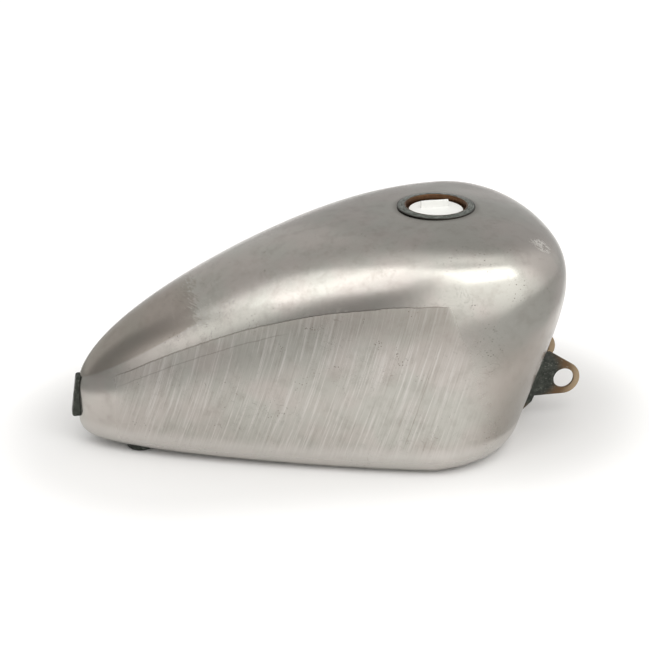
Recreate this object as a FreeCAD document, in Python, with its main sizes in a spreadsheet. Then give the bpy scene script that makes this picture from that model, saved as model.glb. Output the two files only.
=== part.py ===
import FreeCAD, Part
import math
import os
import Sketcher

# A pressed steel motorcycle fuel tank, +X to the steering head, -Y to the rider's right, +Z up.
# The origin lies on the bench under the middle of the tank. Sizes are in millimetres.

SIZES = {
    # Skin, seen from the side
    "tail_x": -250.2, "nose_x": 236.4, "crown_x": 41.4, "toe_x": 191.0,
    "crown_height": 221.7, "tail_corner": 52.6, "nose_height": 159.4,
    "tail_handle": 82.7, "crown_rear": 83.7, "crown_front": 145.5, "nose_handle": 43.7,
    # Skin, seen along its length
    "half_width": 143.9, "turn_under": 20.0,
    # The floor rises gently towards the tail
    "lift_start": 100.0, "tail_lift": 8.0,
    # Low round swell that carries the filler
    "swell_x": 125.0, "swell_reach": 85.0, "swell_height": 5.5,
    # Skin, seen from above: share of the length to the widest place, and how full each end is
    "foot_widest": 0.762, "foot_tail_full": 0.30, "foot_tail_long": 0.95,
    "foot_nose_long": 0.55, "foot_nose_full": 0.65,
    "head_widest": 0.748, "head_tail_full": 0.45, "head_tail_long": 0.50,
    "head_nose_long": 0.60, "head_nose_full": 0.65,
    # Sheet metal
    "sheet": 1.2, "weld_gap": 0.2,
    # Frame tunnel
    "tunnel_front_half": 31.0, "tunnel_rear_half": 24.0, "tunnel_front_roof": 92.0,
    "tunnel_rear_roof": 14.0, "tunnel_rear_x": -160.0, "tunnel_front_round": 20.0,
    "tunnel_rear_round": 5.0, "tunnel_proud": 1.0,
    # Filler
    "filler_x": 111.4, "filler_hole": 32.0, "neck_bore": 29.8, "neck_outside": 31.7,
    "neck_foot": 208.0, "neck_top": 226.4, "neck_round": 0.9, "lip_outside": 38.9,
    "lip_crest": 32.0, "lip_seat": 225.5, "lip_edge": 224.75, "lip_edge_thick": 0.4,
    "cam_bore": 24.6, "cam_outside": 29.7, "cam_top": 219.4, "cam_thick": 1.2,
    "notch_width": 11.0, "notch_overrun": 4.0, "notch_wall": 1.4,
    # Lift-out plug
    "plug_outside": 27.0, "plug_top": 221.6, "plug_seat": 219.45, "plug_skirt": 24.1,
    "plug_wall": 1.6, "plug_foot": 211.5, "plug_chamfer": 0.4, "tab_width": 28.0,
    "tab_thick": 2.6, "tab_back": 6.0, "tab_root": 0.5, "tab_round": 0.5, "tab_top": 228.5,
    # Front ears
    "ear_x": 240.7, "ear_z": 42.6, "ear_round": 17.0, "ear_hole": 10.75, "ear_y": 37.5,
    "ear_thick": 3.0, "ear_top_x": 225.4, "ear_top_z": 73.0, "ear_low_x": 206.5,
    "ear_low_z": 25.6, "ear_root_x": 182.0, "foot_width": 15.0, "foot_thick": 3.0,
    "foot_toe_x": 188.5, "foot_toe_z": 12.0,
    # Rear lug
    "lug_top_x": -251.3, "lug_top_z": 74.5, "lug_low_x": -257.7, "lug_low_z": 31.5,
    "lug_root_x": -238.0, "lug_width": 10.0, "lug_round": 2.6, "lug_hole": 3.0,
    "lug_hole_z": 54.0, "lug_relief": 4.0, "lug_relief_x": -250.8,
    # Petcock bung
    "bung_x": -191.6, "bung_y": -18.0, "bung_flange": 14.0, "bung_boss": 11.0,
    "bung_bore": 8.0, "bung_seat": 5.0, "bung_top": 16.0, "bung_chamfer": 1.0,
}

UNDER_STEPS = 4
FLANK_STEPS = 19
SHOULDER_SHARE = 0.83
CROWN_STEPS = 12
COLUMNS = 44
CROWDING = 1.3
FINE_STEPS = 80
SPARE_COLUMNS = 3
FILLER_SPARE = 2.0
REACH = 400.0
CUT_DEPTH = 60.0
CUT_SPARE = 20.0

doc = FreeCAD.newDocument("FuelTank")


def make_sheet():
    """Put every driving size into a spreadsheet cell that has the size's name as its alias."""
    sheet = doc.addObject("Spreadsheet::Sheet", "Sizes")
    for row, (name, value) in enumerate(SIZES.items(), start=1):
        sheet.set(f"A{row}", name)
        sheet.set(f"B{row}", str(value))
        sheet.setAlias(f"B{row}", name)
    doc.recompute()
    return sheet


sizes = make_sheet()


def size(name):
    return float(getattr(sizes, name))


def value_of(expression):
    return float(sizes.evalExpression(expression))


# ---------------------------------------------------------------- the tank's outer form

def bezier(points, share):
    """Point of a cubic with four control points."""
    rest = 1.0 - share
    weights = (rest ** 3, 3 * rest * rest * share, 3 * rest * share * share, share ** 3)
    return (sum(w * p[0] for w, p in zip(weights, points)),
            sum(w * p[1] for w, p in zip(weights, points)))


def read_across(points, axis, wanted):
    """Other coordinate of the cubic where the given one, which runs one way, is as wanted."""
    low, high = 0.0, 1.0
    rising = points[3][axis] > points[0][axis]
    for _ in range(34):
        middle = 0.5 * (low + high)
        if (bezier(points, middle)[axis] < wanted) == rising:
            low = middle
        else:
            high = middle
    return bezier(points, 0.5 * (low + high))[1 - axis]


class TankForm:
    """Level slices of the tank: each has a tail, a nose, a half width and a plan shape."""

    def __init__(self):
        crown = size("crown_height")
        tail, nose = size("tail_x"), size("nose_x")
        middle, low, high = size("crown_x"), size("tail_corner"), size("nose_height")
        under = size("turn_under")
        self.crown = crown
        self.under = under
        self.back = [(tail, low), (tail, low + size("tail_handle")),
                     (middle - size("crown_rear"), crown), (middle, crown)]
        self.front = [(middle, crown), (middle + size("crown_front"), crown),
                      (nose, crown), (nose, high)]
        self.chin = [(nose, high), (nose, high - size("nose_handle")),
                     (size("toe_x"), under), (size("toe_x"), 0.0)]

    def inset(self, z):
        """How far the turned-under edge has drawn in at this height."""
        share = max(0.0, (self.under - z) / self.under)
        return self.under * (1.0 - math.sqrt(1.0 - share * share))

    def tail(self, z):
        if z <= self.back[0][1]:
            return self.back[0][0] + self.inset(z)
        return read_across(self.back, 1, z)

    def nose(self, z):
        profile = self.front if z > self.chin[0][1] else self.chin
        return read_across(profile, 1, z) - self.inset(z)

    def half(self, z):
        """Half width: full at the floor, with a squarish shoulder up to the crown."""
        share = max(0.0, self.crown - z) / (self.crown - self.under)
        fall = 1.0 - min(1.0, share) ** (1.0 / 3.0)
        return size("half_width") * (1.0 - fall ** 3) - self.inset(z)

    def plan(self, z):
        """Plan outline on a unit length and a unit half width: a tail cubic and a nose cubic."""
        share = z / self.crown

        def mixed(name):
            return size("foot_" + name) * (1.0 - share) + size("head_" + name) * share

        widest = mixed("widest")
        tail = [(0.0, 0.0), (0.0, mixed("tail_full")),
                (widest * mixed("tail_long"), 1.0), (widest, 1.0)]
        nose = [(widest, 1.0), (widest + mixed("nose_long") * (1.0 - widest), 1.0),
                (1.0, mixed("nose_full")), (1.0, 0.0)]
        return tail, nose

    def lift(self, x, z):
        """Rise of the floor towards the tail, fading out at the crown."""
        start = size("lift_start")
        share = max(0.0, (start - x) / (start - size("tail_x")))
        return size("tail_lift") * share * share * (1.0 - z / self.crown)

    def slice_points(self, z):
        """Points (x, y) round the right-hand half of the slice, closer together at the tail."""
        tail, nose, half = self.tail(z), self.nose(z), self.half(z)
        fine = []
        for curve in self.plan(z):
            fine += [bezier(curve, i / FINE_STEPS) for i in range(FINE_STEPS)]
        fine = [(tail + (nose - tail) * a, half * b) for a, b in fine + [(1.0, 0.0)]]
        runs = [0.0]
        for (x0, y0), (x1, y1) in zip(fine, fine[1:]):
            runs.append(runs[-1] + math.hypot(x1 - x0, y1 - y0))
        points = [fine[0]]
        step = 0
        for i in range(1, COLUMNS):
            wanted = runs[-1] * (i / COLUMNS) ** CROWDING
            while runs[step + 1] < wanted:
                step += 1
            share = (wanted - runs[step]) / (runs[step + 1] - runs[step])
            (x0, y0), (x1, y1) = fine[step], fine[step + 1]
            points.append((x0 + (x1 - x0) * share, y0 + (y1 - y0) * share))
        return points + [fine[-1]]

    def holds(self, x, y, z):
        tail, nose = self.tail(z), self.nose(z)
        share = (x - tail) / (nose - tail)
        if not 0.0 < share < 1.0:
            return False
        tail_curve, nose_curve = self.plan(z)
        curve = tail_curve if share < tail_curve[3][0] else nose_curve
        return y < self.half(z) * read_across(curve, 0, share)

    def height(self, x, y, low):
        """Height of the upper skin over (x, y), known to lie above low."""
        high = self.crown - 1e-6
        for _ in range(24):
            middle = 0.5 * (low + high)
            if self.holds(x, y, middle):
                low = middle
            else:
                high = middle
        return low

    def swell(self, x, y):
        """Height of the low round swell under the filler."""
        away = ((x - size("swell_x")) ** 2 + y * y) / size("swell_reach") ** 2
        return size("swell_height") * max(0.0, 1.0 - away) ** 2

    def raised(self, x, y, z):
        return FreeCAD.Vector(x, -y, z + self.lift(x, z) + self.swell(x, y))

    def rows(self):
        """Rows of skin points on the right-hand half, from the turned-under rim to the filler."""
        rows = []
        for i in range(UNDER_STEPS):
            z = self.under * (1.0 - math.cos(0.5 * math.pi * i / UNDER_STEPS))
            rows.append([self.raised(x, y, z) for x, y in self.slice_points(z)])
        for i in range(FLANK_STEPS + 1):
            z = self.under + (self.crown - self.under) * SHOULDER_SHARE * i / FLANK_STEPS
            rows.append([self.raised(x, y, z) for x, y in self.slice_points(z)])
        rows += self.crown_rows(z)
        return rows

    def crown_rows(self, shoulder):
        """Rows that close in from the shoulder slice to a circle inside the filler hole."""
        centre = size("filler_x")
        radius = size("filler_hole") - FILLER_SPARE
        outline = self.slice_points(shoulder)
        circle = []
        for x, y in outline:
            angle = math.atan2(y, x - centre)
            circle.append((centre + radius * math.cos(angle), radius * math.sin(angle)))
        rows = []
        for i in range(1, CROWN_STEPS + 1):
            share = i / CROWN_STEPS
            row = []
            for (x0, y0), (x1, y1) in zip(outline, circle):
                x = x0 + (x1 - x0) * share
                y = y0 + (y1 - y0) * share
                row.append(self.raised(x, y, self.height(x, y, shoulder)))
            rows.append(row)
        return rows


form = TankForm()


def mirrored(point):
    return FreeCAD.Vector(point.x, -point.y, point.z)


def inner_rows(rows):
    """Rows one sheet thickness inside the given rows, square to the skin."""
    thickness = size("sheet")
    last_row, last_column = len(rows) - 1, len(rows[0]) - 1
    inner = []
    for i, row in enumerate(rows):
        moved = []
        for j, point in enumerate(row):
            up = rows[min(i + 1, last_row)][j] - rows[max(i - 1, 0)][j]
            along = row[min(j + 1, last_column)] - row[max(j - 1, 0)]
            normal = up.cross(along)
            if i == 0:
                normal = FreeCAD.Vector(0, 0, 1)
            if j in (0, last_column):
                normal.y = 0.0
            normal.normalize()
            moved.append(point + normal * thickness)
        inner.append(moved)
    return inner


def half_surface(rows):
    """Smooth surface over the right-hand half that crosses the seam square to it."""
    wide = []
    for row in rows:
        before = [mirrored(p) for p in reversed(row[1:SPARE_COLUMNS + 1])]
        after = [mirrored(p) for p in reversed(row[-1 - SPARE_COLUMNS:-1])]
        wide.append(before + row + after)
    surface = Part.BSplineSurface()
    surface.interpolate(wide)
    knots = surface.getVKnots()
    first, last = knots[SPARE_COLUMNS], knots[-1 - SPARE_COLUMNS]
    surface.segment(surface.getUKnots()[0], surface.getUKnots()[-1], first, last)
    return surface


def border_curves(surface):
    """The surface's four borders: rim, filler, tail seam and nose seam."""
    first_u, last_u, first_v, last_v = surface.bounds()
    return [surface.uIso(first_u), surface.uIso(last_u),
            surface.vIso(first_v), surface.vIso(last_v)]


def strip_between(curve, facing):
    """Narrow face that closes the sheet's edge between two matching border curves."""
    ends = [Part.makeLine(facing.value(facing.FirstParameter), curve.value(curve.FirstParameter)),
            Part.makeLine(curve.value(curve.LastParameter), facing.value(facing.LastParameter))]
    border = Part.Wire([ends[0], curve.toShape(), ends[1], facing.toShape()])
    if border.BoundBox.YLength < 0.001:
        return Part.Face(border)
    return Part.makeRuledSurface(curve.toShape(), facing.toShape())


def sewn_solid(faces):
    shell = Part.makeShell(faces)
    shell.sewShape()
    solid = Part.makeSolid(shell)
    if solid.Volume < 0:
        solid.reverse()
    return solid


def mirror_left(shape):
    return shape.mirror(FreeCAD.Vector(0, 0, 0), FreeCAD.Vector(0, 1, 0))


def tunnel_section(x, half, roof, rounding, foot):
    """Upside-down U outline of the tunnel at one station."""
    bend = rounding * (1.0 - math.sqrt(0.5))
    a = FreeCAD.Vector(x, -half, foot)
    b = FreeCAD.Vector(x, -half, roof - rounding)
    c = FreeCAD.Vector(x, -half + bend, roof - bend)
    d = FreeCAD.Vector(x, -half + rounding, roof)
    right = [a, b, c, d]
    left = [mirrored(p) for p in reversed(right)]
    edges = [Part.makeLine(a, b), Part.Arc(b, c, d).toShape(), Part.makeLine(d, left[0]),
             Part.Arc(left[0], left[1], left[2]).toShape(), Part.makeLine(left[2], left[3]),
             Part.makeLine(left[3], a)]
    return Part.Wire(edges)


def tunnel_block(grow, back_gap):
    """Solid block under the tunnel roof, from its rear end to well past the nose."""
    front_x = size("nose_x") + CUT_DEPTH
    rear_x = size("tunnel_rear_x") - back_gap
    foot = -2.0 * CUT_SPARE
    slope = (size("tunnel_front_roof") - size("tunnel_rear_roof")) / \
        (size("nose_x") - size("tunnel_rear_x"))
    spread = (size("tunnel_front_half") - size("tunnel_rear_half")) / \
        (size("nose_x") - size("tunnel_rear_x"))
    sections = []
    for x, rounding in ((rear_x, "tunnel_rear_round"), (front_x, "tunnel_front_round")):
        along = x - size("tunnel_rear_x")
        half = size("tunnel_rear_half") + spread * along + grow
        roof = size("tunnel_rear_roof") + slope * along + grow
        sections.append(tunnel_section(x, half, roof, size(rounding) + grow, foot))
    return Part.makeLoft(sections, True, True)


def floor_line(up, front):
    """The floor's side profile: level at the front and rising in a gentle curve to the tail."""
    start, tail = size("lift_start"), size("tail_x")
    curve = Part.BezierCurve()
    curve.setPoles([FreeCAD.Vector(tail, 0, size("tail_lift") + up),
                    FreeCAD.Vector(0.5 * (start + tail), 0, up), FreeCAD.Vector(start, 0, up)])
    level = Part.makeLine(FreeCAD.Vector(start, 0, up), FreeCAD.Vector(front, 0, up))
    return [curve.toShape(), level]


def side_slab(proud):
    """Slab with the tank's side outline below the tunnel, run right across the tank."""
    top = size("nose_height")
    levels = [form.under * (1.0 - math.cos(math.pi * i / 8.0)) for i in range(5)]
    levels += [form.under + (top - form.under) * i / 8.0 for i in range(1, 9)]
    chin = [FreeCAD.Vector(form.nose(z) + proud, 0, z) for z in levels]
    curve = Part.BSplineCurve()
    curve.interpolate(chin)
    tail = size("tail_x")
    back = FreeCAD.Vector(tail, 0, top)
    edges = floor_line(0.0, chin[0].x) + [
        curve.toShape(), Part.makeLine(chin[-1], back),
        Part.makeLine(back, FreeCAD.Vector(tail, 0, size("tail_lift")))]
    slab = Part.Face(Part.Wire(edges)).extrude(FreeCAD.Vector(0, REACH, 0))
    slab.translate(FreeCAD.Vector(0, -0.5 * REACH, 0))
    return slab


def filler_drill(radius):
    base = FreeCAD.Vector(size("filler_x"), 0, size("neck_foot") - CUT_SPARE)
    return Part.makeCylinder(radius, CUT_DEPTH, base)


def thick_half_skin():
    """Right-hand half of the skin as a sheet of even thickness, with its openings cut."""
    rows = form.rows()
    outer = half_surface(rows)
    inner = half_surface(inner_rows(rows))
    faces = [outer.toShape(), inner.toShape()]
    for curve, facing in zip(border_curves(outer), border_curves(inner)):
        faces.append(strip_between(curve, facing))
    half = sewn_solid(faces)
    half = half.cut(filler_drill(size("filler_hole")))
    return half.cut(tunnel_block(size("weld_gap"), size("weld_gap"))).Solids[0]


def add_shape(label, shape):
    feature = doc.addObject("Part::Feature", label)
    feature.Label = label
    feature.Shape = shape
    feature.Placement = FreeCAD.Placement()
    return feature


def make_shells():
    right = thick_half_skin()
    return [add_shape("right_shell", right), add_shape("left_shell", mirror_left(right))]


def rim_prism():
    """Upright prism over the floor's outline, just inside the turned-under rim."""
    shrink = 1.0 - size("weld_gap") / form.half(0.0)
    points = [FreeCAD.Vector(x * shrink, -y * shrink, 0) for x, y in form.slice_points(0.0)]
    points += [mirrored(p) for p in reversed(points[1:-1])]
    curve = Part.BSplineCurve()
    curve.interpolate(points, PeriodicFlag=True)
    prism = Part.Face(Part.Wire(curve.toShape())).extrude(FreeCAD.Vector(0, 0, CUT_DEPTH))
    prism.translate(FreeCAD.Vector(0, 0, -CUT_SPARE))
    return prism


def floor_plate():
    """Sheet with the floor's side profile, wider than the tank."""
    tail, front = size("tail_x"), size("nose_x")
    thick = size("sheet")
    rise = size("tail_lift")
    ends = [Part.makeLine(FreeCAD.Vector(front, 0, 0), FreeCAD.Vector(front, 0, thick)),
            Part.makeLine(FreeCAD.Vector(tail, 0, rise + thick), FreeCAD.Vector(tail, 0, rise))]
    lower, upper = floor_line(0.0, front), floor_line(thick, front)
    outline = Part.Wire(lower + [ends[0]] + upper[::-1] + [ends[1]])
    plate = Part.Face(outline).extrude(FreeCAD.Vector(0, REACH, 0))
    plate.translate(FreeCAD.Vector(0, -0.5 * REACH, 0))
    return plate


def make_floor():
    """Floor pan with a long notch for the tunnel and a hole for the petcock bung."""
    plate = floor_plate().common(rim_prism())
    plate = plate.cut(tunnel_block(size("weld_gap"), size("weld_gap")))
    hole = Part.makeCylinder(size("bung_boss") + size("weld_gap"), CUT_DEPTH,
                             FreeCAD.Vector(size("bung_x"), size("bung_y"), -CUT_SPARE))
    return add_shape("floor_pan", plate.cut(hole).Solids[0])


def make_tunnel():
    """Folded steel tunnel for the frame's backbone, with a closed rear end."""
    block = tunnel_block(0.0, 0.0)
    hollow = tunnel_block(-size("sheet"), -size("sheet"))
    trough = block.cut(hollow)
    return add_shape("tunnel", trough.common(side_slab(size("tunnel_proud"))).Solids[0])


# ---------------------------------------------------------------- turned, punched and bent pieces

def origin_plane(body, role):
    return next(f for f in body.Origin.OriginFeatures if f.Role == role)


def new_body(label):
    body = doc.addObject("PartDesign::Body", label)
    body.Label = label
    return body


def new_sketch(body, name, role):
    sketch = body.newObject("Sketcher::SketchObject", name)
    sketch.AttachmentSupport = [(origin_plane(body, role), "")]
    sketch.MapMode = "FlatFace"
    return sketch


def bind(sketch, kind, target, expression):
    """Add a dimension to a sketch and tie it to an expression on the sheet."""
    constraint = Sketcher.Constraint(kind, *target, value_of(expression))
    index = sketch.addConstraint(constraint)
    sketch.setExpression(f"Constraints[{index}]", expression)


def bind_point(sketch, line, end, across, up):
    bind(sketch, "DistanceX", (-1, 1, line, end), across)
    bind(sketch, "DistanceY", (-1, 1, line, end), up)


def draw_polygon(sketch, corners):
    """Closed outline whose corners are pairs of expressions."""
    points = [FreeCAD.Vector(value_of(a), value_of(b), 0) for a, b in corners]
    count = len(points)
    for i in range(count):
        sketch.addGeometry(Part.LineSegment(points[i], points[(i + 1) % count]), False)
    for i in range(count):
        sketch.addConstraint(Sketcher.Constraint("Coincident", i, 2, (i + 1) % count, 1))
    for i, (across, up) in enumerate(corners):
        bind_point(sketch, i, 1, across, up)


def draw_circle(sketch, across, up, radius):
    centre = FreeCAD.Vector(value_of(across), value_of(up), 0)
    circle = Part.Circle(centre, FreeCAD.Vector(0, 0, 1), value_of(radius))
    index = sketch.addGeometry(circle, False)
    bind_point(sketch, index, 3, across, up)
    bind(sketch, "Radius", (index,), radius)


def turned_body(label, corners):
    """Ring turned about the vertical through the body's own origin."""
    body = new_body(label)
    sketch = new_sketch(body, label + "_section", "XZ_Plane")
    draw_polygon(sketch, corners)
    doc.recompute()
    turned = body.newObject("PartDesign::Revolution", label + "_turned")
    turned.Profile = sketch
    turned.ReferenceAxis = (sketch, ["V_Axis"])
    turned.Angle = 360.0
    doc.recompute()
    return body


def pad(body, name, sketch, length, both_ways=False, backwards=False):
    feature = body.newObject("PartDesign::Pad", name)
    feature.Profile = sketch
    feature.setExpression("Length", length)
    feature.Midplane = both_ways
    feature.Reversed = backwards
    doc.recompute()
    return feature


def place(body, across, along, up):
    body.setExpression("Placement.Base.x", across)
    body.setExpression("Placement.Base.y", along)
    body.setExpression("Placement.Base.z", up)


def make_neck():
    """Filler neck with a rolled lip that sits on the skin round the filler hole."""
    neck = turned_body("filler_neck", [
        ("Sizes.neck_bore", "Sizes.neck_foot"), ("Sizes.neck_outside", "Sizes.neck_foot"),
        ("Sizes.neck_outside", "Sizes.lip_seat"), ("Sizes.lip_outside", "Sizes.lip_edge"),
        ("Sizes.lip_outside", "Sizes.lip_edge + Sizes.lip_edge_thick"),
        ("Sizes.lip_crest", "Sizes.neck_top"),
        ("Sizes.neck_bore + Sizes.neck_round", "Sizes.neck_top"),
        ("Sizes.neck_bore", "Sizes.neck_top - Sizes.neck_round")])
    place(neck, "Sizes.filler_x", "0", "0")


def make_cam_ring():
    """Ledge inside the neck that a cap's claws lock under, with two notches to let them in."""
    ring = turned_body("cam_ring", [
        ("Sizes.cam_bore", "Sizes.cam_top - Sizes.cam_thick"),
        ("Sizes.cam_outside", "Sizes.cam_top - Sizes.cam_thick"),
        ("Sizes.cam_outside", "Sizes.cam_top"), ("Sizes.cam_bore", "Sizes.cam_top")])
    sketch = new_sketch(ring, "cam_notches", "XY_Plane")
    inner = "(Sizes.cam_bore - Sizes.notch_overrun)"
    outer = "(Sizes.cam_outside - Sizes.notch_wall)"
    half = "Sizes.notch_width / 2"
    draw_polygon(sketch, [(f"-{half}", inner), (half, inner), (half, outer), (f"-{half}", outer)])
    doc.recompute()
    whole = ring.Shape.Volume
    notch = ring.newObject("PartDesign::Pocket", "notch")
    notch.Profile = sketch
    notch.Type = "ThroughAll"
    notch.Midplane = True
    doc.recompute()
    pattern = ring.newObject("PartDesign::PolarPattern", "notch_pair")
    pattern.Originals = [notch]
    pattern.Axis = (sketch, ["N_Axis"])
    pattern.Angle = 360.0
    pattern.Occurrences = 2
    ring.Tip = pattern
    doc.recompute()
    if ring.Shape.Volume >= whole:
        raise RuntimeError("the notches cut nothing")
    place(ring, "Sizes.filler_x", "0", "0")


def make_plug():
    """White lift-out plug: a lid that rests on the cam ring, a skirt and an upright finger tab."""
    plug = turned_body("filler_plug", [
        ("0", "Sizes.plug_seat"), ("Sizes.plug_skirt - Sizes.plug_wall", "Sizes.plug_seat"),
        ("Sizes.plug_skirt - Sizes.plug_wall", "Sizes.plug_foot"),
        ("Sizes.plug_skirt", "Sizes.plug_foot"), ("Sizes.plug_skirt", "Sizes.plug_seat"),
        ("Sizes.plug_outside", "Sizes.plug_seat"),
        ("Sizes.plug_outside", "Sizes.plug_top - Sizes.plug_chamfer"),
        ("Sizes.plug_outside - Sizes.plug_chamfer", "Sizes.plug_top"), ("0", "Sizes.plug_top")])
    sketch = new_sketch(plug, "tab_outline", "XZ_Plane")
    draw_polygon(sketch, [
        ("-Sizes.tab_width / 2", "Sizes.plug_top - Sizes.tab_root"),
        ("Sizes.tab_width / 2", "Sizes.plug_top - Sizes.tab_root"),
        ("Sizes.tab_width / 2", "Sizes.tab_top"), ("-Sizes.tab_width / 2", "Sizes.tab_top")])
    sketch.setExpression("AttachmentOffset.Base.z", "-Sizes.tab_back")
    doc.recompute()
    tab = pad(plug, "tab", sketch, "Sizes.tab_thick", both_ways=True)
    rounds = plug.newObject("PartDesign::Fillet", "tab_rounds")
    top = value_of("Sizes.tab_top")
    names = [f"Edge{i}" for i, edge in enumerate(tab.Shape.Edges, start=1)
             if abs(edge.CenterOfMass.z - top) < 0.01]
    rounds.Base = (tab, names)
    rounds.Radius = size("tab_round")
    plug.Tip = rounds
    doc.recompute()
    place(plug, "Sizes.filler_x", "0", "0")


def draw_ear(sketch):
    """Ear outline: a straight root and a round end tangent to its two long sides."""
    corners = [("Sizes.ear_root_x", "Sizes.ear_top_z"), ("Sizes.ear_top_x", "Sizes.ear_top_z"),
               ("Sizes.ear_low_x", "Sizes.ear_low_z"), ("Sizes.ear_root_x", "Sizes.ear_low_z")]
    a, b, c, d = [FreeCAD.Vector(value_of(x), value_of(z), 0) for x, z in corners]
    centre = FreeCAD.Vector(size("ear_x"), size("ear_z"), 0)
    radius = size("ear_round")
    reach = (b - centre).Length
    angle = math.atan2(b.y - centre.y, b.x - centre.x) - math.acos(radius / reach)
    start = centre + FreeCAD.Vector(radius * math.cos(angle), radius * math.sin(angle), 0)
    end = centre + FreeCAD.Vector(0, -radius, 0)
    circle = Part.Circle(centre, FreeCAD.Vector(0, 0, 1), radius)
    sketch.addGeometry(Part.LineSegment(a, b), False)
    sketch.addGeometry(Part.LineSegment(b, start), False)
    sketch.addGeometry(Part.ArcOfCircle(circle, -0.5 * math.pi, angle), False)
    sketch.addGeometry(Part.LineSegment(end, c), False)
    sketch.addGeometry(Part.LineSegment(c, d), False)
    sketch.addGeometry(Part.LineSegment(d, a), False)
    for first, first_end, second, second_end in ((0, 2, 1, 1), (3, 2, 4, 1), (4, 2, 5, 1),
                                                 (5, 2, 0, 1)):
        sketch.addConstraint(
            Sketcher.Constraint("Coincident", first, first_end, second, second_end))
    sketch.addConstraint(Sketcher.Constraint("Tangent", 1, 2, 2, 2))
    sketch.addConstraint(Sketcher.Constraint("Tangent", 3, 1, 2, 1))
    bind_point(sketch, 2, 3, "Sizes.ear_x", "Sizes.ear_z")
    bind(sketch, "Radius", (2,), "Sizes.ear_round")
    for line, (across, up) in zip((0, 1, 4, 5), corners):
        bind_point(sketch, line, 1, across, up)
    draw_circle(sketch, "Sizes.ear_x", "Sizes.ear_z", "Sizes.ear_hole")


def ear_blank(side, name):
    """Ear with its welding foot, before its root is fitted to the nose. side is -1 or 1."""
    body = new_body(name)
    sketch = new_sketch(body, name + "_outline", "XZ_Plane")
    draw_ear(sketch)
    sketch.setExpression("AttachmentOffset.Base.z", f"{-side} * Sizes.ear_y")
    doc.recompute()
    pad(body, name + "_plate", sketch, "Sizes.ear_thick", backwards=side > 0)
    foot = new_sketch(body, name + "_foot", "XZ_Plane")
    draw_polygon(foot, [
        ("Sizes.ear_root_x", "Sizes.ear_top_z"),
        ("Sizes.ear_top_x - Sizes.foot_thick", "Sizes.ear_top_z"),
        ("Sizes.ear_low_x - Sizes.foot_thick", "Sizes.ear_low_z"),
        ("Sizes.foot_toe_x", "Sizes.foot_toe_z"), ("Sizes.ear_root_x", "Sizes.foot_toe_z")])
    foot.setExpression("AttachmentOffset.Base.z", f"{-side} * Sizes.ear_y")
    doc.recompute()
    pad(body, name + "_flange", foot, "Sizes.foot_width", backwards=side > 0)
    return body


def make_lug():
    """Leaning steel bar at the tail with rounded ends and a tapped hole for the rear bolt."""
    body = new_body("rear_lug_blank")
    sketch = new_sketch(body, "lug_outline", "XZ_Plane")
    draw_polygon(sketch, [
        ("Sizes.lug_root_x", "Sizes.lug_top_z"), ("Sizes.lug_top_x", "Sizes.lug_top_z"),
        ("Sizes.lug_low_x", "Sizes.lug_low_z"), ("Sizes.lug_root_x", "Sizes.lug_low_z")])
    doc.recompute()
    bar = pad(body, "lug_bar", sketch, "Sizes.lug_width", both_ways=True)
    rounds = body.newObject("PartDesign::Fillet", "lug_rounds")
    outer = 0.5 * (size("lug_top_x") + size("lug_root_x"))
    names = [f"Edge{i}" for i, edge in enumerate(bar.Shape.Edges, start=1)
             if edge.BoundBox.YLength > 1.0 and edge.CenterOfMass.x < outer]
    rounds.Base = (bar, names)
    rounds.setExpression("Radius", "Sizes.lug_round")
    body.Tip = rounds
    doc.recompute()
    drill_lug(body, "lug_tapping", "Sizes.lug_hole", "0", both_ways=True)
    drill_lug(body, "lug_clearance", "Sizes.lug_relief", "Sizes.lug_relief_x", both_ways=False)
    return body


def drill_lug(body, name, radius, start, both_ways):
    """Round hole through the lug along X, or from the start place forward to the skin."""
    circle = new_sketch(body, name + "_circle", "YZ_Plane")
    draw_circle(circle, "0", "Sizes.lug_hole_z", radius)
    circle.setExpression("AttachmentOffset.Base.z", start)
    doc.recompute()
    whole = body.Shape.Volume
    hole = body.newObject("PartDesign::Pocket", name)
    hole.Profile = circle
    hole.Type = "ThroughAll"
    hole.Midplane = both_ways
    hole.Reversed = not both_ways
    doc.recompute()
    if body.Shape.Volume >= whole:
        raise RuntimeError(f"{name} cuts nothing")


def make_bung():
    """Threaded petcock bung: a thick flange under the floor and a boss that passes up through."""
    edge = "Sizes.bung_chamfer"
    bung = turned_body("petcock_bung", [
        (f"Sizes.bung_bore + {edge}", "0"), (f"Sizes.bung_flange - {edge}", "0"),
        ("Sizes.bung_flange", edge), ("Sizes.bung_flange", "Sizes.bung_seat"),
        ("Sizes.bung_boss", "Sizes.bung_seat"), ("Sizes.bung_boss", "Sizes.bung_top"),
        ("Sizes.bung_bore", "Sizes.bung_top"), ("Sizes.bung_bore", edge)])
    place(bung, "Sizes.bung_x", "Sizes.bung_y", "0")


def make_trimming_form():
    """The tank's outer form as one closed solid, a hair oversize, that welded pieces are cut to."""
    surface = half_surface(form.rows())
    right = surface.toShape()
    faces = [right, mirror_left(right)]
    for curve in border_curves(surface)[:2]:
        edge = curve.toShape()
        faces.append(Part.makeRuledSurface(edge, mirror_left(edge)))
    middle = FreeCAD.Vector(0, 0, 0.5 * size("crown_height"))
    growth = 1.0 + size("weld_gap") / size("nose_x")
    return add_shape("tank_form", sewn_solid(faces).scaled(growth, middle))


def trim_to_skin(blank, form_solid, label):
    trimmed = doc.addObject("Part::Cut", label)
    trimmed.Label = label
    trimmed.Base = blank
    trimmed.Tool = form_solid


def make_welded_mounts():
    form_solid = make_trimming_form()
    trim_to_skin(ear_blank(-1, "right_ear_blank"), form_solid, "right_ear")
    trim_to_skin(ear_blank(1, "left_ear_blank"), form_solid, "left_ear")
    trim_to_skin(make_lug(), form_solid, "rear_lug")


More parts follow.
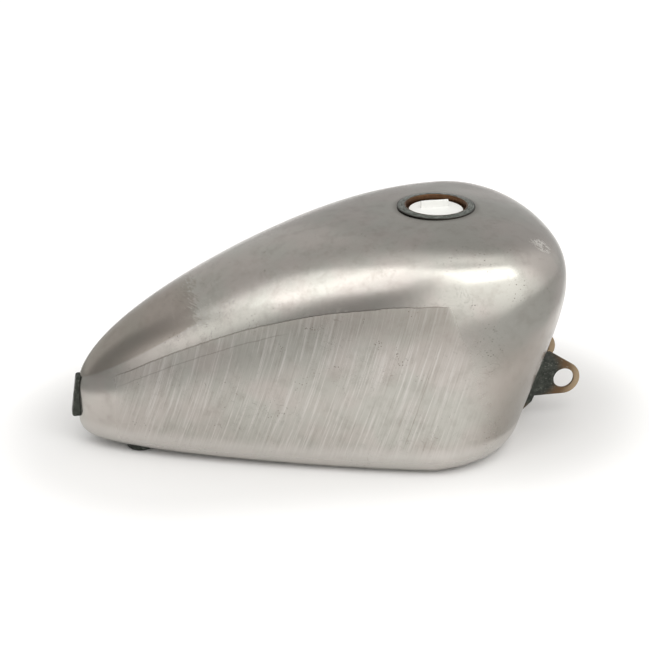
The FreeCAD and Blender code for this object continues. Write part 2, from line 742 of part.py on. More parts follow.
PIECES = ["right_shell", "left_shell", "floor_pan", "tunnel", "filler_neck", "cam_ring",
          "filler_plug", "right_ear", "left_ear", "rear_lug", "petcock_bung"]


def check_document():
    for item in doc.Objects:
        if "Invalid" in item.State or "Error" in item.State:
            raise RuntimeError(f"{item.Label} failed: {item.State}")


def write_pieces():
    os.makedirs("parts", exist_ok=True)
    found = {item.Label: item for item in doc.Objects}
    for label in PIECES:
        shape = found[label].Shape
        if shape.isNull() or not shape.isValid() or len(shape.Solids) != 1:
            raise RuntimeError(f"{label} is not one valid solid")
    for label in PIECES:
        found[label].Shape.Solids[0].exportStep(f"parts/{label}.step")


make_shells()
make_floor()
make_tunnel()
make_neck()
make_cam_ring()
make_plug()
make_bung()
make_welded_mounts()
doc.recompute()
check_document()
write_pieces()
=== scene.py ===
import math

import bmesh
import bpy
import numpy as np
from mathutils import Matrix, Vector


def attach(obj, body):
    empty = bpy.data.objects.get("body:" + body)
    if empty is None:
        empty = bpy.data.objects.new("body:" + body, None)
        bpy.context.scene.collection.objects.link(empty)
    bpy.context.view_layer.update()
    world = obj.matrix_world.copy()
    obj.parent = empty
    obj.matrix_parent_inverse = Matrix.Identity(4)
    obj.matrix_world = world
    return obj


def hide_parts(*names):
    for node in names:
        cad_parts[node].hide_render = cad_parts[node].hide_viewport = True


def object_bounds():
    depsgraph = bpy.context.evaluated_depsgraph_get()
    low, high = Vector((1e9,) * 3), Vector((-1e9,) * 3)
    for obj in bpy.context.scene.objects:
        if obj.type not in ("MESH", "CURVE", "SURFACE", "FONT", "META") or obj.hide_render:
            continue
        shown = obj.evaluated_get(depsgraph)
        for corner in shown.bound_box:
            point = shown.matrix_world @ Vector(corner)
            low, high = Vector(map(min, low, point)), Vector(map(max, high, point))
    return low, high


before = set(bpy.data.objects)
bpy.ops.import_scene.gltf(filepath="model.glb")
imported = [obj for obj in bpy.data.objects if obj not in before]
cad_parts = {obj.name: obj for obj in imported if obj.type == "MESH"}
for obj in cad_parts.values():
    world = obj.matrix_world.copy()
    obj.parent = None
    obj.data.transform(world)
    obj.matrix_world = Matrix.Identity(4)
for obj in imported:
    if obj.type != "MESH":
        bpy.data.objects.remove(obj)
cad_low, cad_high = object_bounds()

MM = 0.001

# ------------------------------------------------------------------ the tank's form, in mm

FORM = {
    "tail": -250.2, "nose": 236.4, "crown_x": 41.4, "toe": 191.0,
    "crown": 221.7, "tail_corner": 52.6, "nose_height": 159.4,
    "tail_handle": 82.7, "crown_rear": 83.7, "crown_front": 145.5, "nose_handle": 43.7,
    "half": 143.9, "under": 20.0, "lift_start": 100.0, "lift": 8.0,
}
FOOT = {"widest": 0.762, "tail_full": 0.30, "tail_long": 0.95, "nose_long": 0.55,
        "nose_full": 0.65}
HEAD = {"widest": 0.748, "tail_full": 0.45, "tail_long": 0.50, "nose_long": 0.60,
        "nose_full": 0.65}
SWELL = {"x": 125.0, "reach": 85.0, "height": 5.5}
ACROSS_STEPS = 40
HEIGHT_STEPS = 26
SHEET = 1.2
FILLER_X = 111.4
FILLER_HOLE = 32.0
TUNNEL = {"rear_x": -160.0, "front_half": 31.0, "rear_half": 24.0, "front_roof": 92.0,
          "rear_roof": 14.0, "front_round": 20.0, "rear_round": 5.0}
CUTTER = {"past_nose": 60.0, "floor": -40.0, "round_steps": 12}


def cubic(points, share):
    """Points of a cubic. Its control points and the share may both be arrays."""
    rest = 1.0 - share
    weights = (rest ** 3, 3 * rest * rest * share, 3 * rest * share * share, share ** 3)
    return (sum(w * p[0] for w, p in zip(weights, points)),
            sum(w * p[1] for w, p in zip(weights, points)))


def read_across(points, axis, wanted):
    """Other coordinate of the cubic where the given one, which runs one way, is as wanted."""
    wanted = np.asarray(wanted, float)
    low, high = np.zeros_like(wanted), np.ones_like(wanted)
    rising = np.asarray(points[3][axis]) > np.asarray(points[0][axis])
    for _ in range(ACROSS_STEPS):
        middle = 0.5 * (low + high)
        below = (cubic(points, middle)[axis] < wanted) == rising
        low, high = np.where(below, middle, low), np.where(below, high, middle)
    return cubic(points, 0.5 * (low + high))[1 - axis]


def profiles():
    """Side outline as three cubics: the tail's ridge, the crown over the nose, and the chin."""
    f = FORM
    back = [(f["tail"], f["tail_corner"]), (f["tail"], f["tail_corner"] + f["tail_handle"]),
            (f["crown_x"] - f["crown_rear"], f["crown"]), (f["crown_x"], f["crown"])]
    front = [(f["crown_x"], f["crown"]), (f["crown_x"] + f["crown_front"], f["crown"]),
             (f["nose"], f["crown"]), (f["nose"], f["nose_height"])]
    chin = [(f["nose"], f["nose_height"]), (f["nose"], f["nose_height"] - f["nose_handle"]),
            (f["toe"], f["under"]), (f["toe"], 0.0)]
    return back, front, chin


BACK, FRONT, CHIN = profiles()


def inset(z):
    """How far the turned-under rim has drawn in at a height."""
    share = np.clip((FORM["under"] - z) / FORM["under"], 0.0, 1.0)
    return FORM["under"] * (1.0 - np.sqrt(1.0 - share * share))


def tail_at(z):
    """Rear end of the level slice at z."""
    z = np.asarray(z, float)
    low = FORM["tail_corner"]
    up = read_across(BACK, 1, np.maximum(z, low + 1e-9))
    return np.where(z <= low, FORM["tail"], up) + inset(z)


def nose_at(z):
    """Front end of the level slice at z."""
    z = np.asarray(z, float)
    high = FORM["nose_height"]
    up = read_across(FRONT, 1, np.maximum(z, high))
    down = read_across(CHIN, 1, np.minimum(z, high))
    return np.where(z > high, up, down) - inset(z)


def half_at(z):
    """Greatest half width of the level slice at z."""
    share = np.clip((FORM["crown"] - z) / (FORM["crown"] - FORM["under"]), 0.0, 1.0)
    fall = 1.0 - share ** (1.0 / 3.0)
    return FORM["half"] * (1.0 - fall ** 3) - inset(z)


def plan_at(z):
    """Two cubics of the slice's outline, in shares of its length and of its half width."""
    share = np.asarray(z, float) / FORM["crown"]
    m = {name: FOOT[name] * (1.0 - share) + HEAD[name] * share for name in FOOT}
    zero, one = np.zeros_like(share), np.ones_like(share)
    tail = [(zero, zero), (zero, m["tail_full"]), (m["widest"] * m["tail_long"], one),
            (m["widest"], one)]
    nose = [(m["widest"], one), (m["widest"] + m["nose_long"] * (1.0 - m["widest"]), one),
            (one, m["nose_full"]), (one, zero)]
    return tail, nose


def lift_at(x, z):
    """How far the rising floor lifts a point towards the tail."""
    share = np.clip((FORM["lift_start"] - x) / (FORM["lift_start"] - FORM["tail"]), 0.0, 1.0)
    return FORM["lift"] * share * share * (1.0 - z / FORM["crown"])


def swell_at(x, y):
    """Height of the low round swell that carries the filler."""
    away = ((x - SWELL["x"]) ** 2 + y * y) / SWELL["reach"] ** 2
    return SWELL["height"] * np.maximum(0.0, 1.0 - away) ** 2


def slice_at(z, columns, crowding=1.3, fine=400):
    """Points round the right-hand half of a level slice, from the tail to the nose."""
    tail, nose, half = float(tail_at(z)), float(nose_at(z)), float(half_at(z))
    share = np.linspace(0.0, 1.0, fine)
    parts = [cubic(curve, share) for curve in plan_at(float(z))]
    a = np.concatenate([parts[0][0], parts[1][0][1:]])
    b = np.concatenate([parts[0][1], parts[1][1][1:]])
    x, y = tail + (nose - tail) * a, half * b
    run = np.concatenate([[0.0], np.cumsum(np.hypot(np.diff(x), np.diff(y)))])
    wanted = run[-1] * np.linspace(0.0, 1.0, columns + 1) ** crowding
    return np.interp(wanted, run, x), np.interp(wanted, run, y)


def holds(x, y, z):
    """Whether points of the near half lie inside the level slice at z."""
    tail, nose = tail_at(z), nose_at(z)
    share = np.clip((x - tail) / np.maximum(nose - tail, 1e-6), 0.0, 1.0)
    tail_curve, nose_curve = plan_at(z)
    widest = tail_curve[3][0]
    rear = read_across(tail_curve, 0, np.minimum(share, widest))
    fore = read_across(nose_curve, 0, np.maximum(share, widest))
    wide = np.where(share < widest, rear, fore)
    return (x > tail) & (x < nose) & (y < half_at(z) * wide)


def height_at(x, y, low):
    """Height of the upper skin over points known to lie inside the slice at low."""
    low = np.full_like(x, low)
    high = np.full_like(x, FORM["crown"] - 1e-7)
    for _ in range(HEIGHT_STEPS):
        middle = 0.5 * (low + high)
        inside = holds(x, y, middle)
        low, high = np.where(inside, middle, low), np.where(inside, high, middle)
    return low


# ------------------------------------------------------------------ mesh helpers

def new_object(name, vertices, faces, smooth=True):
    """Mesh object from points in mm."""
    mesh = bpy.data.meshes.new(name)
    mesh.from_pydata([tuple(c * MM for c in v) for v in vertices], [], faces)
    mesh.validate()
    mesh.update()
    if smooth:
        mesh.shade_smooth()
    item = bpy.data.objects.new(name, mesh)
    bpy.context.scene.collection.objects.link(item)
    return item


def applied(item):
    """The object with its modifiers made permanent."""
    deps = bpy.context.evaluated_depsgraph_get()
    mesh = bpy.data.meshes.new_from_object(item.evaluated_get(deps))
    old = item.data
    item.modifiers.clear()
    item.data = mesh
    bpy.data.meshes.remove(old)
    return item


def remove(item):
    """Takes an object and its mesh out of the scene."""
    mesh = item.data
    bpy.data.objects.remove(item)
    bpy.data.meshes.remove(mesh)


def finish_piece(item, body, material, replaced):
    """Gives a piece its material and ties it to its body and the nodes it replaces."""
    item.data.materials.clear()
    item.data.materials.append(material)
    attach(item, body)
    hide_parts(*replaced)
    return item


# ------------------------------------------------------------------ pressed skin

CREASE_ANGLE = math.radians(40.0)
COLUMNS = 190
UNDER_ROWS = 14
FLANK_ROWS = 90
CROWN_ROWS = 70
SHOULDER_SHARE = 0.83


def skin_rows():
    """Rows of (x, y, z) arrays round the near half, from the turned-under rim to the filler."""
    under, crown = FORM["under"], FORM["crown"]
    shoulder = under + (crown - under) * SHOULDER_SHARE
    levels = [under * (1.0 - math.cos(0.5 * math.pi * i / UNDER_ROWS)) for i in range(UNDER_ROWS)]
    levels += [under + (shoulder - under) * i / FLANK_ROWS for i in range(FLANK_ROWS + 1)]
    rows = []
    for z in levels:
        x, y = slice_at(z, COLUMNS)
        rows.append((x, y, z + lift_at(x, z) + swell_at(x, y)))
    x0, y0 = slice_at(shoulder, COLUMNS)
    angle = np.arctan2(y0, x0 - FILLER_X)
    x1, y1 = FILLER_X + FILLER_HOLE * np.cos(angle), FILLER_HOLE * np.sin(angle)
    for i in range(1, CROWN_ROWS + 1):
        share = i / CROWN_ROWS
        x, y = x0 + (x1 - x0) * share, y0 + (y1 - y0) * share
        z = height_at(x, y, shoulder)
        rows.append((x, y, z + lift_at(x, z) + swell_at(x, y)))
    return rows


def ring_mesh(rows):
    """Closed rings from half rows: down the near side, then back along the far side."""
    vertices, faces = [], []
    for x, y, z in rows:
        near = [(x[i], -y[i], z[i]) for i in range(COLUMNS + 1)]
        far = [(x[i], y[i], z[i]) for i in range(COLUMNS - 1, 0, -1)]
        near[0] = (near[0][0], 0.0, near[0][2])
        near[-1] = (near[-1][0], 0.0, near[-1][2])
        vertices += near + far
    count = 2 * COLUMNS
    for r in range(len(rows) - 1):
        for c in range(count):
            d = (c + 1) % count
            faces.append((r * count + c, r * count + d, (r + 1) * count + d, (r + 1) * count + c))
    return vertices, faces


def tunnel_cutter():
    """Block that opens the skin where the tunnel runs out through the nose."""
    rear_x, front_x = TUNNEL["rear_x"], FORM["nose"] + CUTTER["past_nose"]
    length = FORM["nose"] - rear_x
    vertices = []
    for x, rounding in ((rear_x, TUNNEL["rear_round"]), (front_x, TUNNEL["front_round"])):
        share = (x - rear_x) / length
        half = TUNNEL["rear_half"] + (TUNNEL["front_half"] - TUNNEL["rear_half"]) * share
        roof = TUNNEL["rear_roof"] + (TUNNEL["front_roof"] - TUNNEL["rear_roof"]) * share
        outline = [(-half, CUTTER["floor"])]
        for i in range(CUTTER["round_steps"] + 1):
            turn = 0.5 * math.pi * i / CUTTER["round_steps"]
            outline.append((-half + rounding * (1.0 - math.cos(turn)),
                            roof - rounding * (1.0 - math.sin(turn))))
        outline += [(-y, z) for y, z in reversed(outline)]
        vertices += [(x, y, z) for y, z in outline]
    count = len(vertices) // 2
    faces = [tuple(range(count - 1, -1, -1)), tuple(range(count, 2 * count))]
    for i in range(count):
        j = (i + 1) % count
        faces.append((i, j, count + j, count + i))
    return new_object("tunnel_cutter", vertices, faces, smooth=False)


def make_skin(material):
    """Both half skins as one welded sheet, open at the filler and at the tunnel's mouth."""
    skin = new_object("tank_skin", *ring_mesh(skin_rows()))
    sheet = skin.modifiers.new("sheet", "SOLIDIFY")
    sheet.thickness = SHEET * MM
    sheet.offset = -1.0
    cutter = tunnel_cutter()
    cut = skin.modifiers.new("tunnel_mouth", "BOOLEAN")
    cut.operation = "DIFFERENCE"
    cut.object = cutter
    cut.solver = "EXACT"
    applied(skin)
    remove(cutter)
    skin.data.shade_smooth()
    skin.data.set_sharp_from_angle(angle=CREASE_ANGLE)
    return finish_piece(skin, "tank", material, ["right_shell", "left_shell"])


# ------------------------------------------------------------------ material graphs

class Graph:
    """Short way to write a material's nodes."""

    def __init__(self, name):
        self.material = bpy.data.materials.new(name)
        self.material.use_nodes = True
        self.tree = self.material.node_tree
        self.shader = self.tree.nodes["Principled BSDF"]
        self.place = self.node("ShaderNodeTexCoord").outputs["Object"]
        self.normal = self.node("ShaderNodeNewGeometry").outputs["Normal"]

    def node(self, kind, **settings):
        """New node of a kind, with its settings."""
        made = self.tree.nodes.new(kind)
        for name, value in settings.items():
            setattr(made, name, value)
        return made

    def feed(self, socket, value):
        """Links a socket to another, or sets it to a constant."""
        if isinstance(value, bpy.types.NodeSocket):
            self.tree.links.new(value, socket)
        else:
            socket.default_value = value

    def math(self, operation, *values, clamp=False):
        made = self.node("ShaderNodeMath", operation=operation, use_clamp=clamp)
        for socket, value in zip(made.inputs, values):
            self.feed(socket, value)
        return made.outputs[0]

    def ramp(self, value, low, high, start=0.0, end=1.0):
        """Smooth step of value between low and high."""
        made = self.node("ShaderNodeMapRange", interpolation_type="SMOOTHSTEP")
        for name, given in (("Value", value), ("From Min", low), ("From Max", high),
                            ("To Min", start), ("To Max", end)):
            self.feed(made.inputs[name], given)
        return made.outputs["Result"]

    def noise(self, scale, detail=2.0, rough=0.5, at=None, distort=0.0):
        made = self.node("ShaderNodeTexNoise")
        for name, given in (("Scale", scale), ("Detail", detail), ("Roughness", rough),
                            ("Distortion", distort), ("Vector", at or self.place)):
            self.feed(made.inputs[name], given)
        return made.outputs["Fac"]

    def cells(self, scale, at=None):
        made = self.node("ShaderNodeTexVoronoi")
        self.feed(made.inputs["Scale"], scale)
        self.feed(made.inputs["Vector"], at or self.place)
        return made.outputs["Distance"]

    def mapped(self, turn=(0.0, 0.0, 0.0), scale=(1.0, 1.0, 1.0)):
        """The object's place, first turned and then stretched along each axis."""
        turned = self.node("ShaderNodeMapping")
        self.feed(turned.inputs["Vector"], self.place)
        turned.inputs["Rotation"].default_value = turn
        stretched = self.node("ShaderNodeMapping")
        self.feed(stretched.inputs["Vector"], turned.outputs["Vector"])
        stretched.inputs["Scale"].default_value = scale
        return stretched.outputs["Vector"]

    def blend(self, share, first, second, kind="MIX"):
        made = self.node("ShaderNodeMix", data_type="RGBA", blend_type=kind)
        self.feed(made.inputs["Factor"], share)
        self.feed(made.inputs["A"], first)
        self.feed(made.inputs["B"], second)
        return made.outputs["Result"]

    def distance(self, point, at=None):
        made = self.node("ShaderNodeVectorMath", operation="DISTANCE")
        self.feed(made.inputs[0], at or self.place)
        made.inputs[1].default_value = point
        return made.outputs["Value"]

    def part(self, vector, axis):
        """One coordinate of a vector."""
        made = self.node("ShaderNodeSeparateXYZ")
        self.feed(made.inputs[0], vector)
        return made.outputs[axis]

    def bump(self, height, strength, distance):
        made = self.node("ShaderNodeBump")
        made.inputs["Strength"].default_value = strength
        made.inputs["Distance"].default_value = distance
        self.feed(made.inputs["Height"], height)
        self.feed(self.shader.inputs["Normal"], made.outputs["Normal"])

    def set(self, **values):
        for name, value in values.items():
            self.feed(self.shader.inputs[name.replace("_", " ")], value)


# ------------------------------------------------------------------ bare steel

STEEL = (0.500, 0.465, 0.432, 1.0)
STEEL_GREEN = (0.470, 0.460, 0.422, 1.0)
STEEL_DARK = (0.27, 0.24, 0.21, 1.0)
# Lighter steel, used for the wear in the sanded strokes and for the painted reflection along the
# bottom.
STEEL_WORN_AND_SHEEN = (0.60, 0.575, 0.545, 1.0)

# Sanded flank, in metres: its top edge is a parabola that runs level forward of its crest
SANDED_TOP = 0.172
SANDED_CREST_X = 0.080
SANDED_FRONT = 0.091
SANDED_REAR = -0.222
SANDED_FOOT = (0.010, 0.026)
SECOND_LINE = 0.0109
STROKE_LEAN = math.radians(-17.0)
BROAD_STROKE = (520.0, 24.0, 13.0)
FINE_STROKE = (1300.0, 60.0, 40.0)
RAG_STROKE = (60.0, 160.0, 700.0)

GRIME = (0.13, 0.11, 0.09, 1.0)
BROWN = (0.25, 0.20, 0.16, 1.0)
CHIPPED = (0.82, 0.80, 0.76, 1.0)
CHIPPED_PLACE = (0.194, -0.082, 0.208)
CHIPPED_REACH = 0.013
LIP_PLACE = (FILLER_X * MM, 0.0, 0.2245)
LIP_HALO = (0.0455, 0.039)
STAIN_FRONT = -0.165
STAIN_RAGS = 0.06
STAIN_LOWER = (-0.131, 0.145, 0.62)
# Places where pits crowd together, each with its reach
PITTED_SPOTS = (((0.193, -0.082, 0.209), 0.016), ((0.128, -0.141, 0.135), 0.018),
                ((0.150, -0.100, 0.205), 0.010), ((0.150, -0.126, 0.178), 0.012))


def sanded_zone(g):
    """How far a place is inside the sanded flank, and the scribed lines along its top edge."""
    x, z = g.part(g.place, 0), g.part(g.place, 2)
    behind = g.math("MAXIMUM", g.math("SUBTRACT", SANDED_CREST_X, x), 0.0)
    top = g.math("SUBTRACT", SANDED_TOP, g.math("MULTIPLY", behind, behind))
    wander = g.math("MULTIPLY", g.math("SUBTRACT", g.noise(45.0, 3.0, 0.6), 0.5), 0.003)
    below = g.math("ADD", g.math("SUBTRACT", top, z), wander)
    edge = g.ramp(below, -0.0003, 0.0009)
    spread = g.math("MULTIPLY_ADD", g.math("MAXIMUM", below, 0.0), 0.55, 0.0012)
    front = g.math("DIVIDE", g.math("SUBTRACT", x, SANDED_FRONT), spread)
    front = g.ramp(front, 1.0, -0.4)
    rear = g.ramp(x, SANDED_REAR, SANDED_REAR + 0.025)
    side = g.ramp(g.math("ABSOLUTE", g.part(g.normal, 1)), 0.25, 0.5)
    zone = g.math("MULTIPLY", g.math("MULTIPLY", edge, front), g.math("MULTIPLY", rear, side))
    zone = g.math("MULTIPLY", zone, g.ramp(z, *SANDED_FOOT))
    return zone, scribed_lines(g, x, below, g.math("MULTIPLY", side, rear))


def scribed_lines(g, x, below, flank):
    """A thin line along the sanded zone's top edge, and a fainter one under it at the tail."""
    upper = g.math("MULTIPLY", g.ramp(below, -0.0010, -0.0001), g.ramp(below, 0.0010, 0.0001))
    lower = g.math("MULTIPLY", g.ramp(below, SECOND_LINE - 0.0009, SECOND_LINE - 0.0001),
                   g.ramp(below, SECOND_LINE + 0.0009, SECOND_LINE + 0.0001))
    lower = g.math("MULTIPLY", lower, g.ramp(x, -0.05, -0.07, 0.0, 0.5))
    line = g.math("MULTIPLY", g.math("MAXIMUM", upper, lower), flank)
    return g.math("MULTIPLY", line, g.ramp(x, SANDED_FRONT + 0.002, SANDED_FRONT - 0.004))


def scuffed(g, centre, reach):
    """A patch round a place, its edge broken up so that it never reads as a disc."""
    ragged = g.math("SUBTRACT", g.noise(60.0, 4.0, 0.7), 0.5)
    away = g.math("ADD", g.distance(centre), g.math("MULTIPLY", ragged, 1.2 * reach))
    return g.ramp(away, reach, 0.55 * reach)


def hairlines(g, scale, width, share):
    """Fine wandering scratches: thin contour lines of a slow noise, kept in patches."""
    field = g.noise(scale, 3.0, 0.6, distort=1.5)
    near = g.math("ABSOLUTE", g.math("SUBTRACT", field, 0.5))
    thin = g.ramp(near, width, 0.0)
    patches = g.ramp(g.noise(14.0, 2.0, 0.5), share, share + 0.08)
    return g.math("MULTIPLY", thin, patches)


def tail_stain(g):
    """Brown stain over the tail's shoulder, ending forward in a ragged edge."""
    x, z = g.part(g.place, 0), g.part(g.place, 2)
    rags = g.noise(1.0, 4.0, 0.7, g.mapped((0.0, STROKE_LEAN, 0.0), RAG_STROKE))
    forward = g.math("MULTIPLY_ADD", rags, STAIN_RAGS, STAIN_FRONT)
    front = g.ramp(g.math("SUBTRACT", forward, x), 0.0, 0.004)
    start_x, start_z, slope = STAIN_LOWER
    lower = g.math("MULTIPLY_ADD", g.math("SUBTRACT", x, start_x), slope, start_z)
    above = g.ramp(g.math("SUBTRACT", z, lower), 0.0, 0.002)
    outside = g.ramp(g.part(g.place, 1), 0.02, -0.01)
    return g.math("MULTIPLY", g.math("MULTIPLY", front, above), outside)


def painted_nose_shade(g, x, z):
    """Painted shade: darker colour round the nose's lower half, above the painted bright band at
    the bottom.
    """
    nose = g.math("MULTIPLY", g.ramp(x, 0.10, 0.15), g.ramp(z, 0.150, 0.115))
    nose = g.math("MULTIPLY", nose, g.ramp(z, 0.026, 0.032))
    return g.math("MULTIPLY", nose, g.ramp(g.noise(18.0, 4.0, 0.6), 0.15, 0.6, 0.75, 1.0))


def dark_marks(g, line):
    """Everything dark on the steel: pits, scratches, scribed lines and grime by the filler."""
    pitted = g.ramp(g.noise(33.0, 3.0, 0.6), 0.56, 0.68)
    for centre, reach in PITTED_SPOTS:
        pitted = g.math("MAXIMUM", pitted, scuffed(g, centre, reach))
    specks = g.math("MULTIPLY", g.ramp(g.cells(330.0), 0.26, 0.10), pitted)
    halo = g.ramp(g.distance(LIP_PLACE), *LIP_HALO)
    marks = g.math("MULTIPLY", specks, 0.8)
    for kind, strength in ((hairlines(g, 55.0, 0.006, 0.5), 0.4), (line, 0.55), (halo, 0.45)):
        marks = g.math("MAXIMUM", marks, g.math("MULTIPLY", kind, strength))
    return marks


def steel_colour(g, zone, strokes, patina, chips):
    """The steel's colour without its dark marks, with painted shade on the top of the sanded flank
    and round the lower nose, and a painted reflection along the bottom.
    """
    x, z = g.part(g.place, 0), g.part(g.place, 2)
    clouds = g.noise(11.0, 4.0, 0.55)
    hues = g.noise(19.0, 3.0, 0.5, g.mapped((0.3, 0.2, 0.9)))
    colour = g.blend(g.ramp(hues, 0.38, 0.62), STEEL, STEEL_GREEN)
    colour = g.blend(g.ramp(clouds, 0.3, 0.72, 0.16, 0.0), colour, STEEL_DARK)
    colour = g.blend(g.ramp(patina, 0.45, 0.7, 0.0, 0.24), colour, STEEL_DARK)
    bright = g.math("MULTIPLY", g.ramp(strokes, 0.5, 0.66), zone)
    dull = g.math("MULTIPLY", g.ramp(strokes, 0.46, 0.3), zone)
    colour = g.blend(g.math("MULTIPLY", bright, 0.75), colour, STEEL_WORN_AND_SHEEN)
    colour = g.blend(g.math("MULTIPLY", dull, 0.4), colour, STEEL_DARK)
    colour = g.blend(g.math("MULTIPLY", tail_stain(g), 0.4), colour, BROWN)
    colour = g.blend(chips, colour, CHIPPED)
    # Painted reflection: lighter colour along the turned-under bottom, standing in for the floor's
    # reflection there.
    colour = g.blend(g.ramp(z, 0.034, 0.022, 0.0, 0.6), colour, STEEL_WORN_AND_SHEEN)
    # Painted shade: the sanded flank is darkened towards its top edge.
    shade = g.math("MULTIPLY", zone, g.ramp(z, 0.125, 0.162, 0.0, 0.42))
    colour = g.blend(shade, colour, STEEL_DARK)
    # Painted shade round the nose's lower half.
    return g.blend(g.math("MULTIPLY", painted_nose_shade(g, x, z), 0.65), colour, STEEL_DARK)


def steel_material():
    """Bare pressed steel: sanded in slanting strokes on the flanks, rubbed smooth above."""
    g = Graph("bare_steel")
    zone, line = sanded_zone(g)
    strokes = g.noise(1.0, 4.0, 0.7, g.mapped((0.0, STROKE_LEAN, 0.0), BROAD_STROKE))
    fine = g.noise(1.0, 3.0, 0.7, g.mapped((0.0, STROKE_LEAN - 0.05, 0.0), FINE_STROKE))
    patina = g.noise(70.0, 5.0, 0.65)
    chips = g.math("MULTIPLY", scuffed(g, CHIPPED_PLACE, CHIPPED_REACH),
                   g.ramp(g.noise(230.0, 4.0, 0.7), 0.44, 0.54, 0.0, 0.7))
    marks = dark_marks(g, line)
    colour = g.blend(marks, steel_colour(g, zone, strokes, patina, chips), GRIME)
    rough = g.math("MULTIPLY_ADD", zone, 0.14, 0.185)
    rough = g.math("ADD", rough, g.math("MULTIPLY", chips, 0.3))
    rough = g.math("ADD", rough, g.math("MULTIPLY", g.math("MULTIPLY", strokes, zone), 0.12))
    rough = g.math("ADD", rough, g.math("MULTIPLY", patina, 0.11))
    g.set(Base_Color=colour, Metallic=1.0, Roughness=rough)
    grain = g.math("ADD", g.math("MULTIPLY", strokes, 0.65), g.math("MULTIPLY", fine, 0.35))
    grain = g.math("MULTIPLY", grain, g.math("ADD", 0.05, zone))
    grain = g.math("ADD", grain, g.math("MULTIPLY", g.noise(420.0, 4.0, 0.7), 0.16))
    grain = g.math("SUBTRACT", grain, g.math("MULTIPLY", marks, 0.35))
    g.bump(grain, 0.5, 0.00035)
    return g.material


# ------------------------------------------------------------------ bracket steel, neck and plug

SCALE_BLACK = (0.02, 0.023, 0.018, 1.0)
SCALE_GREEN = (0.06, 0.066, 0.055, 1.0)
TINT_BROWN = (0.13, 0.075, 0.035, 1.0)
TINT_TAN = (0.36, 0.27, 0.17, 1.0)
BARE_FLAKE = (0.42, 0.42, 0.38, 1.0)
# Where the tint is measured from, and the distances over which it runs out to tan
EAR_TINT = ((0.205, 0.0, 0.052), 0.026, 0.052)
LUG_TINT = ((-0.25, 0.0, 0.055), 0.2, 0.3)


def tinted_steel_material(name, centre, start, end):
    """Mill-scaled bracket steel, its heat tint running from blue-black through brown to tan."""
    g = Graph(name)
    mottle = g.noise(190.0, 5.0, 0.7)
    flakes = g.ramp(g.noise(700.0, 3.0, 0.6), 0.6, 0.68)
    colour = g.blend(g.ramp(mottle, 0.35, 0.7), SCALE_BLACK, SCALE_GREEN)
    away = g.distance(centre, g.mapped(scale=(1.0, 0.0, 1.0)))
    away = g.math("ADD", away, g.math("MULTIPLY", g.math("SUBTRACT", mottle, 0.5), 0.006))
    colour = g.blend(g.ramp(away, start, 0.5 * (start + end)), colour, TINT_BROWN)
    colour = g.blend(g.ramp(away, 0.5 * (start + end), end), colour, TINT_TAN)
    colour = g.blend(g.math("MULTIPLY", flakes, 0.35), colour, BARE_FLAKE)
    g.set(Base_Color=colour, Metallic=0.6, Roughness=g.ramp(mottle, 0.2, 0.8, 0.36, 0.6))
    g.bump(mottle, 0.4, 0.0003)
    return g.material


LIP_DARK = (0.075, 0.082, 0.07, 1.0)
LIP_BRIGHT = (0.36, 0.38, 0.35, 1.0)
LIP_SHADOW = (0.03, 0.025, 0.02, 1.0)
BURNT_DARK = (0.05, 0.022, 0.01, 1.0)
BURNT_LIGHT = (0.19, 0.10, 0.05, 1.0)
BURNT_RADII = (0.0318, 0.0308)
SHADOW_RADII = (0.0372, 0.0384)


def neck_material():
    """Neck steel, grey-green and streaked on the lip, burnt brown inside the bore, with a painted
    shadow round the lip's outer edge.
    """
    g = Graph("neck_steel")
    x, y, z = (g.part(g.place, axis) for axis in range(3))
    around = g.math("ARCTAN2", y, g.math("SUBTRACT", x, FILLER_X * MM))
    across = g.distance((FILLER_X * MM, 0.0, 0.0), g.mapped(scale=(1.0, 1.0, 0.0)))
    polar = g.node("ShaderNodeCombineXYZ")
    for socket, value in zip(polar.inputs, (g.math("MULTIPLY", around, 6.0),
                                            g.math("MULTIPLY", across, 1400.0), z)):
        g.feed(socket, value)
    streaks = g.noise(1.0, 4.0, 0.65, polar.outputs[0])
    mottle = g.noise(240.0, 4.0, 0.65)
    lip = g.blend(g.ramp(streaks, 0.4, 0.66), LIP_DARK, LIP_BRIGHT)
    burnt = g.blend(mottle, BURNT_DARK, BURNT_LIGHT)
    colour = g.blend(g.ramp(across, *BURNT_RADII), lip, burnt)
    # Painted shadow: the lip's outer edge turns near black where the gap under it lies in shade.
    colour = g.blend(g.ramp(across, *SHADOW_RADII), colour, LIP_SHADOW)
    g.set(Base_Color=colour, Metallic=0.85, Roughness=g.ramp(streaks, 0.3, 0.7, 0.42, 0.26))
    g.bump(g.math("ADD", streaks, g.math("MULTIPLY", mottle, 0.5)), 0.3, 0.0003)
    return g.material


PLASTIC_HAZE = (0.80, 0.80, 0.765, 1.0)
PLASTIC_WHITE = (0.88, 0.88, 0.86, 1.0)


def plastic_material():
    """Soft white moulded plastic with a faint haze and a fine matt grain."""
    g = Graph("white_plastic")
    haze = g.noise(60.0, 3.0, 0.5)
    grain = g.noise(1500.0, 2.0, 0.5)
    g.set(Base_Color=g.blend(haze, PLASTIC_HAZE, PLASTIC_WHITE),
          Roughness=g.ramp(haze, 0.2, 0.8, 0.42, 0.55))
    g.bump(grain, 0.08, 0.0002)
    return g.material


# ------------------------------------------------------------------ turned and bracket pieces

def lathe(name, profile, segments=144):
    """Closed profile of (radius, height) turned about the filler's upright axis."""
    count = len(profile)
    vertices, faces = [], []
    for i in range(segments):
        turn = 2.0 * math.pi * i / segments
        vertices += [(FILLER_X + r * math.cos(turn), r * math.sin(turn), z) for r, z in profile]
    for i in range(segments):
        j = (i + 1) % segments
        for k in range(count):
            m = (k + 1) % count
            faces.append((i * count + k, j * count + k, j * count + m, i * count + m))
    return new_object(name, vertices, faces)


